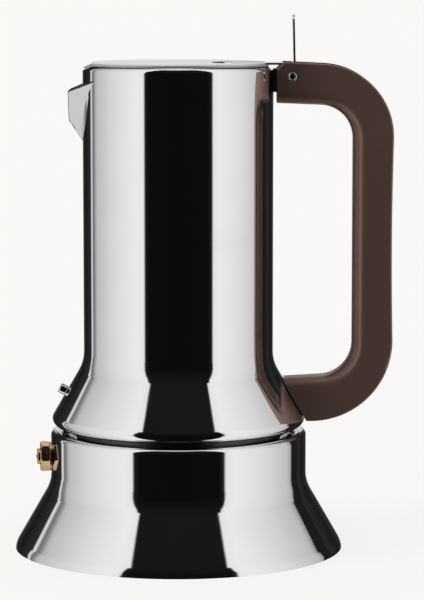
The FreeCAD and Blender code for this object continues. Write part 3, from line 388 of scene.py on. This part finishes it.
def make_seam_shaded_steel(look):
    """Steel of the boiler's neck, painted dark as shade at the height of the seam, where the collector's
    skirt covers it.
    """
    material, tree, shader, place = new_finish("neck_steel_seam_shaded", {"Metallic": 1.0})
    lines = tree.group(shared("turned_lines"), {"Vector": place, "Per metre": 3000.0})["Lines"]
    patches = tree.group(shared("smudges"), {"Vector": place, "Per metre": 70.0})["Patches"]
    # Painted shade: near the seam the neck's colour drops to a fifth, a little lower in the smudge
    # patches, and rises to plain steel above.
    seam_shade = tree.tint(patches, look.plain_steel, clean=0.2, worn=0.12)
    shade_top = 2 * MM
    shade_fade = 4 * MM
    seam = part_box("pot_body")[0][2]
    height = tree.add("ShaderNodeSeparateXYZ", {0: place}).outputs[2]
    clean = tree.span(height, seam + shade_top, seam + shade_top + shade_fade, smooth=True)
    tree.feed(shader["Base Color"], tree.mix(clean, seam_shade, shade_of(look.plain_steel, 1.0)))
    tree.feed(shader["Roughness"], tree.span(lines, *NOISE_SPAN, to_low=0.34, to_high=0.48))
    bump(tree, shader, lines, strength=0.15, distance=0.05 * MM)
    return material


def make_shade_painted_edge(look):
    """Near-black steel: a painted dark reflection on the beak's edges, and painted shade in the pin's
    hollow ends and on the walls of the lid's recess.
    """
    material, tree, shader, place = new_finish("edge_steel_painted_shade", {"Metallic": 1.0})
    patches = tree.group(shared("smudges"), {"Vector": place, "Per metre": 150.0})["Patches"]
    tree.feed(shader["Base Color"], tree.tint(patches, look.plain_steel, clean=0.05, worn=0.08))
    tree.feed(shader["Roughness"], tree.span(patches, *MASK_SPAN, to_low=0.3, to_high=0.4))
    return material


def make_satin_edge(look):
    """Cut edge of the lid's sheet, ground but never polished."""
    material, tree, shader, place = new_finish("lid_edge_satin", {"Metallic": 1.0})
    grain = tree.group(shared("fine_grain"), {"Vector": place, "Per metre": 4000.0})
    tree.feed(shader["Base Color"], tree.tint(grain["Flecks"], look.steel, clean=1.0, worn=0.9))
    tree.feed(shader["Roughness"], tree.span(grain["Height"], *NOISE_SPAN, to_low=0.6, to_high=0.7))
    return material


def make_valve_brass(look):
    """Turned brass, darker in patches where it has tarnished."""
    material, tree, shader, place = new_finish("valve_brass_turned", {"Metallic": 1.0})
    patches = tree.group(shared("smudges"), {"Vector": place, "Per metre": 220.0})["Patches"]
    grain = tree.group(shared("fine_grain"), {"Vector": place, "Per metre": 3000.0})
    tree.feed(shader["Base Color"], tree.tint(patches, look.brass, clean=1.0, worn=0.72))
    tree.feed(shader["Roughness"], tree.span(patches, *MASK_SPAN, to_low=0.16, to_high=0.3))
    bump(tree, shader, grain["Height"], strength=0.05, distance=0.03 * MM)
    return material


def make_seal_rubber(look):
    """Pale food-grade rubber with a fine moulded skin."""
    material, tree, shader, place = new_finish("seal_rubber_moulded", {"Specular IOR Level": 0.35})
    grain = tree.group(shared("fine_grain"), {"Vector": place, "Per metre": 1800.0})
    patches = tree.group(shared("smudges"), {"Vector": place, "Per metre": 80.0})["Patches"]
    tree.feed(shader["Base Color"], tree.tint(patches, look.rubber, clean=1.0, worn=0.82))
    tree.feed(shader["Roughness"], tree.span(grain["Flecks"], *MASK_SPAN, to_low=0.55, to_high=0.72))
    bump(tree, shader, grain["Height"], strength=0.25, distance=0.05 * MM)
    return material


def make_brown_coat(look):
    """Satin metallic coat of the cast handle, with its fine spray grain and painted shade that darkens
    it towards the pot.
    """
    material, tree, shader, place = new_finish("brown_coat_satin", {"Metallic": 0.7})
    grain = tree.group(shared("fine_grain"), {"Vector": place, "Per metre": 2600.0})
    patches = tree.group(shared("smudges"), {"Vector": place, "Per metre": 45.0})["Patches"]
    fleck_share = 0.5
    patch_share = 0.35
    tone = tree.math("MULTIPLY", grain["Flecks"], fleck_share)
    worn = tree.math("MULTIPLY_ADD", patches, patch_share, tone)
    sprayed = tree.tint(worn, look.brown, clean=1.06, worn=0.9)
    # Painted shade: near the pot, where the pot takes light from the handle, the coat drops to a share
    # of its colour.
    dark_end = 36 * MM
    light_end = 62 * MM
    painted_shade_share = 0.62
    from_axis = tree.add("ShaderNodeSeparateXYZ", {0: place}).outputs[0]
    away_from_pot = tree.span(from_axis, dark_end, light_end, smooth=True)
    tree.feed(shader["Base Color"], tree.mix(away_from_pot, shade_of(look.brown, painted_shade_share), sprayed))
    tree.feed(shader["Roughness"], tree.span(patches, *MASK_SPAN, to_low=0.36, to_high=0.43))
    bump(tree, shader, grain["Height"], strength=0.2, distance=0.06 * MM)
    return material


def make_black_coat(look):
    """Satin black coat of the hinge bracket."""
    material, tree, shader, place = new_finish("black_coat_satin", {"Specular IOR Level": 0.5})
    grain = tree.group(shared("fine_grain"), {"Vector": place, "Per metre": 2600.0})
    patches = tree.group(shared("smudges"), {"Vector": place, "Per metre": 90.0})["Patches"]
    tree.feed(shader["Base Color"], tree.tint(patches, look.black, clean=1.0, worn=1.5))
    tree.feed(shader["Roughness"], tree.span(grain["Flecks"], *MASK_SPAN, to_low=0.3, to_high=0.42))
    bump(tree, shader, grain["Height"], strength=0.2, distance=0.05 * MM)
    return material


FINISH_MAKERS = {
    "mirror_steel": make_mirror_steel,
    "plain_steel": make_plain_steel,
    "seam_shaded_steel": make_seam_shaded_steel,
    "shade_painted_edge": make_shade_painted_edge,
    "satin_edge": make_satin_edge,
    "valve_brass": make_valve_brass,
    "seal_rubber": make_seal_rubber,
    "brown_coat": make_brown_coat,
    "black_coat": make_black_coat,
}
FINISHES = {}


def finish(slot):
    """The material of a slot, made at its first use."""
    if slot not in FINISHES:
        FINISHES[slot] = FINISH_MAKERS[slot](bpy.context.scene.moka_finish)
    return FINISHES[slot]


def coat_nodes(slot, *names):
    """Gives each named node of the part the material of that slot."""
    for name in names:
        for place in NODES[name].material_slots:
            place.material = finish(slot)


# Pieces


# Edges that turn by more are rounded; faces that turn by less, and closer points, become one.
SHARP = math.radians(35)
NEARLY_FLAT = math.radians(0.5)
SAME_POINT = 0.002 * MM


def soft_copy(name, body, slot, width, segments=3):
    """Stands in for a node of the part with a copy whose sharp edges are rounded."""
    bpy.ops.object.select_all(action="DESELECT")
    source = NODES[name]
    piece = source.copy()
    piece.data = source.data.copy()
    piece.name = f"{name}_soft"
    bpy.context.scene.collection.objects.link(piece)
    piece.select_set(True)
    bpy.context.view_layer.objects.active = piece
    bpy.ops.object.mode_set(mode="EDIT")
    bpy.ops.mesh.select_all(action="SELECT")
    bpy.ops.mesh.remove_doubles(threshold=SAME_POINT)
    bpy.ops.mesh.dissolve_limited(angle_limit=NEARLY_FLAT)
    bpy.ops.mesh.normals_make_consistent(inside=False)
    bpy.ops.object.mode_set(mode="OBJECT")
    rounding = piece.modifiers.new("edges", "BEVEL")
    rounding.limit_method = "ANGLE"
    rounding.angle_limit = SHARP
    rounding.width = width
    rounding.segments = segments
    rounding.use_clamp_overlap = False
    bpy.ops.object.modifier_apply(modifier=rounding.name)
    bpy.ops.object.shade_smooth_by_angle(angle=SHARP)
    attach(piece, body)
    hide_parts(name)
    piece.data.materials.clear()
    piece.data.materials.append(finish(slot))
    return piece


class MOKA_OT_boiler(bpy.types.Operator):
    """Polish the boiler and finish the pieces inside it"""

    bl_idname = "moka.boiler"
    bl_label = "Boiler"

    def execute(self, context):
        coat_nodes("mirror_steel", "boiler_shell")
        # The neck carries painted shade at the height of the seam.
        coat_nodes("seam_shaded_steel", "boiler_neck")
        coat_nodes("plain_steel", "base_disc", "funnel", "funnel_screen")
        return {"FINISHED"}


class MOKA_OT_safety_valve(bpy.types.Operator):
    """Finish the brass safety valve, and give its spring a mesh of its own"""

    bl_idname = "moka.safety_valve"
    bl_label = "Safety valve"

    def execute(self, context):
        soft_copy("valve_body", "boiler", "valve_brass", width=0.18 * MM)
        coat_nodes("valve_brass", "valve_washer", "valve_nut")
        coat_nodes("plain_steel", "valve_poppet")
        spring = soft_copy("valve_spring", "boiler", "plain_steel", width=0.02 * MM, segments=1)
        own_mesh(spring)
        return {"FINISHED"}


class MOKA_OT_collector(bpy.types.Operator):
    """Polish the collector and finish what it holds"""

    bl_idname = "moka.collector"
    bl_label = "Collector"

    def execute(self, context):
        coat_nodes("mirror_steel", "pot_body")
        coat_nodes("plain_steel", "pot_floor", "coffee_column", "column_cap", "filter_plate")
        coat_nodes("seal_rubber", "gasket")
        return {"FINISHED"}


class MOKA_OT_spout(bpy.types.Operator):
    """Bend the beak from one sheet, whose round edges carry a painted dark reflection"""

    bl_idname = "moka.spout"
    bl_label = "Spout"

    keel_fall = math.radians(56.5)
    panel_spread = math.radians(47.1)
    top_slope = math.radians(22.0)
    tip_drop = 9.95 * MM
    front_height = 11.45 * MM
    wall_radius = 36.4 * MM
    sheet = 1.25 * MM
    edge = 0.6 * MM
    edge_segments = 5
    sharp = math.radians(40)
    edge_slot = 1
    steps_along = 12
    steps_up = 24
    settling_rounds = 24
    fold_gap = 0.02 * MM
    same_point = 0.005 * MM

    def at_wall(self, tip, rise):
        """How far behind the tip a panel meets the wall, at a rise above the tip's foot."""
        spread = math.tan(self.panel_spread) ** 2
        square = 1 + spread * math.sin(self.keel_fall) ** 2
        mixed = spread * math.sin(self.keel_fall) * math.cos(self.keel_fall) * rise - tip
        rest = tip**2 + spread * (math.cos(self.keel_fall) * rise) ** 2 - self.wall_radius**2
        return (-mixed - math.sqrt(mixed**2 - square * rest)) / square

    def on_panel(self, tip, foot, back, rise):
        """Point of the near panel, a distance behind the tip and a rise above its foot."""
        depth = math.sin(self.keel_fall) * back + math.cos(self.keel_fall) * rise
        return Vector((back - tip, -math.tan(self.panel_spread) * depth, foot + rise))

    def add_near_panel(self):
        """Grid from the beak's front edge back to the wall, between its keel and its sloping top."""
        tip = -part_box("spout")[0][0]
        keel_back = tip - self.wall_radius
        keel_drop = -keel_back * math.tan(self.keel_fall)
        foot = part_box("pot_body")[1][2] - self.tip_drop - self.front_height
        head = self.front_height
        for _ in range(self.settling_rounds):
            head = self.front_height + self.at_wall(tip, head) * math.tan(self.top_slope)
        bpy.ops.object.select_all(action="DESELECT")
        bpy.ops.mesh.primitive_grid_add(
            x_subdivisions=self.steps_along,
            y_subdivisions=self.steps_up,
            size=1.0,
        )
        panel = bpy.context.object
        # The grid is centred and one unit across, so half a unit more gives shares from 0 to 1.
        for vertex in panel.data.vertices:
            back = vertex.co.x + 0.5
            up = vertex.co.y + 0.5
            rise = keel_drop + up * (head - keel_drop)
            front = self.on_panel(tip, foot, 0.0, up * self.front_height)
            wall = self.on_panel(tip, foot, self.at_wall(tip, rise), rise)
            vertex.co = front.lerp(wall, back)
        return panel

    def fold(self, spout):
        """Adds the far panel and gives both the sheet's thickness."""
        mirror = spout.modifiers.new("far_panel", "MIRROR")
        mirror.use_axis = (False, True, False)
        mirror.merge_threshold = self.fold_gap
        bpy.ops.object.modifier_apply(modifier=mirror.name)
        sheet = spout.modifiers.new("sheet", "SOLIDIFY")
        sheet.thickness = self.sheet
        sheet.use_even_offset = True
        sheet.material_offset_rim = self.edge_slot
        bpy.ops.object.modifier_apply(modifier=sheet.name)

    def round_edges(self, spout):
        """Rounds every sharp edge, and paints the rounds near-black as a dark reflection."""
        rounding = spout.modifiers.new("edges", "BEVEL")
        rounding.limit_method = "ANGLE"
        rounding.angle_limit = self.sharp
        rounding.width = self.edge
        rounding.segments = self.edge_segments
        rounding.harden_normals = True
        rounding.use_clamp_overlap = False
        rounding.material = self.edge_slot
        bpy.ops.object.modifier_apply(modifier=rounding.name)
        bpy.ops.object.mode_set(mode="EDIT")
        bpy.ops.mesh.select_all(action="SELECT")
        bpy.ops.mesh.remove_doubles(threshold=self.same_point)
        bpy.ops.mesh.normals_make_consistent(inside=False)
        bpy.ops.object.mode_set(mode="OBJECT")
        bpy.ops.object.shade_smooth_by_angle(angle=self.sharp)

    def execute(self, context):
        spout = self.add_near_panel()
        spout.name = "spout_bent"
        spout.data.materials.append(finish("mirror_steel"))
        # The second slot holds the near-black steel that paints a dark reflection on the sheet's cut
        # edges and rounds.
        spout.data.materials.append(finish("shade_painted_edge"))
        self.fold(spout)
        self.round_edges(spout)
        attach(spout, "pot")
        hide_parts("spout")
        return {"FINISHED"}


class MOKA_OT_hinge(bpy.types.Operator):
    """Coat the hinge bracket and polish its pin, with painted shade in the hollows of its ends"""

    bl_idname = "moka.hinge"
    bl_label = "Hinge"

    painted_shade_share = 0.62

    def execute(self, context):
        coat_nodes("black_coat", "hinge_bracket")
        pin = soft_copy("hinge_pin", "pot", "mirror_steel", width=0.36 * MM, segments=5)
        pin.data.materials.append(finish("shade_painted_edge"))
        low, high = (Vector(corner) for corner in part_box("hinge_pin"))
        middle = (low + high) / 2
        # Faces of the pin's ends within this radius take the near-black finish, as painted shade in the
        # hollow.
        hollow = self.painted_shade_share * (high.z - low.z) / 2
        for face in pin.data.polygons:
            from_axis = (face.center - middle).xz.length
            face.material_index = int(from_axis < hollow)
        return {"FINISHED"}


class MOKA_OT_lid(bpy.types.Operator):
    """Polish the lid and its strap with the thumb lever, dull the cut rim, and paint shade on the
    recess's walls
    """

    bl_idname = "moka.lid"
    bl_label = "Lid"

    rim_slot = 1
    rim_share = 0.98
    recess_shade_slot = 2
    recess_depth = 0.9 * MM
    wall_slope = 0.75

    def execute(self, context):
        plate = soft_copy("lid_plate", "lid", "mirror_steel", width=0.2 * MM)
        plate.data.materials.append(finish("satin_edge"))
        plate.data.materials.append(finish("shade_painted_edge"))
        radius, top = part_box("lid_plate")[1][1:]
        # Steep faces at the rim get the satin grind; those of the recess get the near-black finish as
        # painted shade.
        walls = [face for face in plate.data.polygons if abs(face.normal.z) < self.wall_slope]
        for wall in walls:
            if wall.center.xy.length / radius > self.rim_share:
                wall.material_index = self.rim_slot
            elif wall.center.z > top - self.recess_depth:
                wall.material_index = self.recess_shade_slot
        soft_copy("lid_strap", "lid", "mirror_steel", width=0.08 * MM, segments=2)
        return {"FINISHED"}


class MOKA_OT_handle(bpy.types.Operator):
    """Coat the cast handle"""

    bl_idname = "moka.handle"
    bl_label = "Handle"

    def execute(self, context):
        coat_nodes("brown_coat", "handle")
        return {"FINISHED"}


class MOKA_OT_catches(bpy.types.Operator):
    """Finish both catches with their rivet and screws"""

    bl_idname = "moka.catches"
    bl_label = "Catches"

    def execute(self, context):
        soft_copy("catch_stud", "pot", "mirror_steel", width=0.2 * MM)
        coat_nodes("plain_steel", "front_catch", "rear_catch", "catch_screws")
        return {"FINISHED"}


# Stage


# Reflected levels round the pot, by degrees from the viewer: a dark gap before it, a tall white
# panel on each side, and dark drapes behind the panels with a slit of light between them.
STUDIO_BANDS = (
    (0.0, 0.004),
    (36.0, 0.005),
    (40.5, 0.015),
    (42.5, 1.0),
    (52.0, 1.05),
    (70.0, 0.96),
    (90.0, 0.84),
    (100.0, 0.75),
    (114.0, 0.65),
    (118.0, 0.56),
    (122.0, 0.28),
    (126.0, 0.2),
    (128.5, 0.85),
    (130.5, 0.8),
    (132.0, 0.03),
    (150.0, 0.012),
    (166.0, 0.035),
    (174.0, 0.7),
    (180.0, 0.76),
)
HALF_TURN = 180.0

# All of it is turned a little towards the handle, where another drape covers the slit.
STUDIO_TURN = math.radians(1.05)
HANDLE_DRAPE = math.radians(129.0)
HANDLE_DRAPE_HALF = math.radians(6.0)
HANDLE_DRAPE_LEVEL = 0.014

# Angles above the horizon: the drapes brighten up to the haze's top, and the ceiling takes over
# from the walls. The fill light rises from a share of its level to all of it.
HAZE_TOP = math.radians(55.0)
HAZE_LOW = 0.003
HAZE_HIGH = 0.012
CEILING_FROM = math.radians(66.0)
CEILING_TO = math.radians(78.0)
CEILING_COLOUR = (0.95, 0.95, 0.945)
FILL_FROM = math.radians(-60.0)
FILL_TO = math.radians(20.0)
FILL_LOW_SHARE = 0.1


def grey(level):
    """A grey of that level, as a colour socket takes it."""
    return (level, level, level, 1.0)


def make_studio_world(stage):
    """World whose reflections show the studio's panels, with an even fill light and a pale backdrop."""
    world = bpy.data.worlds.new("studio")
    world.use_nodes = True
    tree = Tree(world.node_tree)
    direction = tree.add("ShaderNodeTexCoord").outputs["Generated"]
    parts = tree.add("ShaderNodeSeparateXYZ", {0: direction}).outputs
    towards_viewer = tree.math("MULTIPLY", parts[1], -1.0)
    bearing = tree.math("ARCTAN2", parts[0], towards_viewer)
    turn = tree.math("ABSOLUTE", tree.math("SUBTRACT", bearing, STUDIO_TURN))
    ramp = tree.add("ShaderNodeValToRGB", {"Fac": tree.math("DIVIDE", turn, math.pi)})
    stops = ramp.color_ramp.elements
    for index, (angle, level) in enumerate(STUDIO_BANDS):
        place = angle / HALF_TURN
        stop = stops[index] if index < len(stops) else stops.new(place)
        stop.position = place
        stop.color = grey(level)
    from_slit = tree.math("ABSOLUTE", tree.math("SUBTRACT", bearing, HANDLE_DRAPE))
    drape = tree.math("LESS_THAN", from_slit, HANDLE_DRAPE_HALF)
    bands = tree.mix(drape, ramp.outputs["Color"], grey(HANDLE_DRAPE_LEVEL))
    rise = tree.math("ARCSINE", parts[2])
    walls = tree.math("MAXIMUM", bands, tree.span(rise, 0.0, HAZE_TOP, HAZE_LOW, HAZE_HIGH))
    overhead = tree.span(rise, CEILING_FROM, CEILING_TO, smooth=True)
    mirrored = tree.mix(overhead, walls, shade_of(CEILING_COLOUR, 1.0))
    fill = tree.span(rise, FILL_FROM, FILL_TO, FILL_LOW_SHARE * stage.fill, stage.fill)
    ray = tree.add("ShaderNodeLightPath").outputs
    lit = tree.mix(ray["Is Glossy Ray"], fill, mirrored)
    seen = tree.mix(ray["Is Camera Ray"], lit, shade_of(stage.backdrop, 1.0))
    light = tree.add("ShaderNodeBackground", {"Color": seen})
    tree.feed(tree.add("ShaderNodeOutputWorld").inputs["Surface"], light.outputs[0])
    return world


def make_floor_paint(stage):
    """Pale matt floor, mostly self-lit for the camera, that can be looked through from below."""
    material = bpy.data.materials.new("studio_floor")
    material.use_nodes = True
    tree = Tree(material.node_tree)
    place = tree.add("ShaderNodeTexCoord").outputs["Object"]
    patches = tree.group(shared("smudges"), {"Vector": place, "Per metre": 3.0})["Patches"]
    colour = tree.tint(patches, stage.floor, clean=1.0, worn=0.997)
    matt = tree.add("ShaderNodeBsdfDiffuse", {"Color": colour})
    glow = tree.add("ShaderNodeEmission", {"Color": shade_of(stage.backdrop, 1.0)})
    lit = tree.add("ShaderNodeMixShader", {0: stage.floor_glow, 1: matt.outputs[0], 2: glow.outputs[0]})
    ray = tree.add("ShaderNodeLightPath").outputs["Is Camera Ray"]
    shown = tree.add("ShaderNodeMixShader", {0: ray, 1: matt.outputs[0], 2: lit.outputs[0]})
    clear = tree.add("ShaderNodeBsdfTransparent")
    below = tree.add("ShaderNodeNewGeometry").outputs["Backfacing"]
    both = tree.add("ShaderNodeMixShader", {0: below, 1: shown.outputs[0], 2: clear.outputs[0]})
    tree.feed(tree.add("ShaderNodeOutputMaterial").inputs["Surface"], both.outputs[0])
    return material


class MOKA_OT_stage(bpy.types.Operator):
    """Set up the floor, the light and the camera"""

    bl_idname = "moka.stage"
    bl_label = "Stage"

    floor_size = 30.0
    key_turn = (math.radians(18), math.radians(-55), 0.0)
    key_spread = math.radians(24)
    level_view = math.radians(90)

    def execute(self, context):
        stage = context.scene.moka_stage
        context.scene.world = make_studio_world(stage)
        bpy.ops.object.select_all(action="DESELECT")
        bpy.ops.mesh.primitive_plane_add(size=self.floor_size)
        floor = context.object
        floor.name = "floor"
        floor.data.materials.append(make_floor_paint(stage))
        floor.visible_glossy = False
        floor.visible_diffuse = False
        bpy.ops.object.light_add(type="SUN", rotation=self.key_turn)
        key = context.object
        key.name = "key_light"
        key.data.energy = stage.sun
        key.data.angle = self.key_spread
        key.visible_glossy = False
        bpy.ops.object.camera_add(location=stage.camera_place)
        camera = context.object
        camera.name = "viewer"
        camera.rotation_euler = (self.level_view - stage.camera_pitch, 0.0, 0.0)
        camera.data.lens = stage.camera_lens
        context.scene.camera = camera
        context.scene.view_settings.view_transform = "Standard"
        return {"FINISHED"}


class MOKA_PT_dressing(bpy.types.Panel):
    """Every step of the dressing, in order"""

    bl_idname = "MOKA_PT_dressing"
    bl_label = "Moka pot"
    bl_space_type = "VIEW_3D"
    bl_region_type = "UI"
    bl_category = "Moka pot"

    def draw(self, context):
        for operator in OPERATORS:
            self.layout.operator(operator.bl_idname)
        for settings in (context.scene.moka_finish, context.scene.moka_stage):
            box = self.layout.box()
            for name in settings.bl_rna.properties.keys():
                if name not in ("rna_type", "name"):
                    box.prop(settings, name)


SETTINGS = {"moka_finish": MokaFinishSettings, "moka_stage": MokaStageSettings}
OPERATORS = (
    MOKA_OT_boiler,
    MOKA_OT_safety_valve,
    MOKA_OT_collector,
    MOKA_OT_spout,
    MOKA_OT_hinge,
    MOKA_OT_lid,
    MOKA_OT_handle,
    MOKA_OT_catches,
    MOKA_OT_stage,
)
CLASSES = (*SETTINGS.values(), *OPERATORS, MOKA_PT_dressing)


def register():
    for kind in CLASSES:
        bpy.utils.register_class(kind)
    for name, kind in SETTINGS.items():
        setattr(bpy.types.Scene, name, bpy.props.PointerProperty(type=kind))


def unregister():
    for name in SETTINGS:
        delattr(bpy.types.Scene, name)
    for kind in reversed(CLASSES):
        bpy.utils.unregister_class(kind)


def main():
    register()
    bpy.ops.moka.boiler()
    bpy.ops.moka.safety_valve()
    bpy.ops.moka.collector()
    bpy.ops.moka.spout()
    bpy.ops.moka.hinge()
    bpy.ops.moka.lid()
    bpy.ops.moka.handle()
    bpy.ops.moka.catches()
    bpy.ops.moka.stage()


if __name__ == "__main__":
    main()
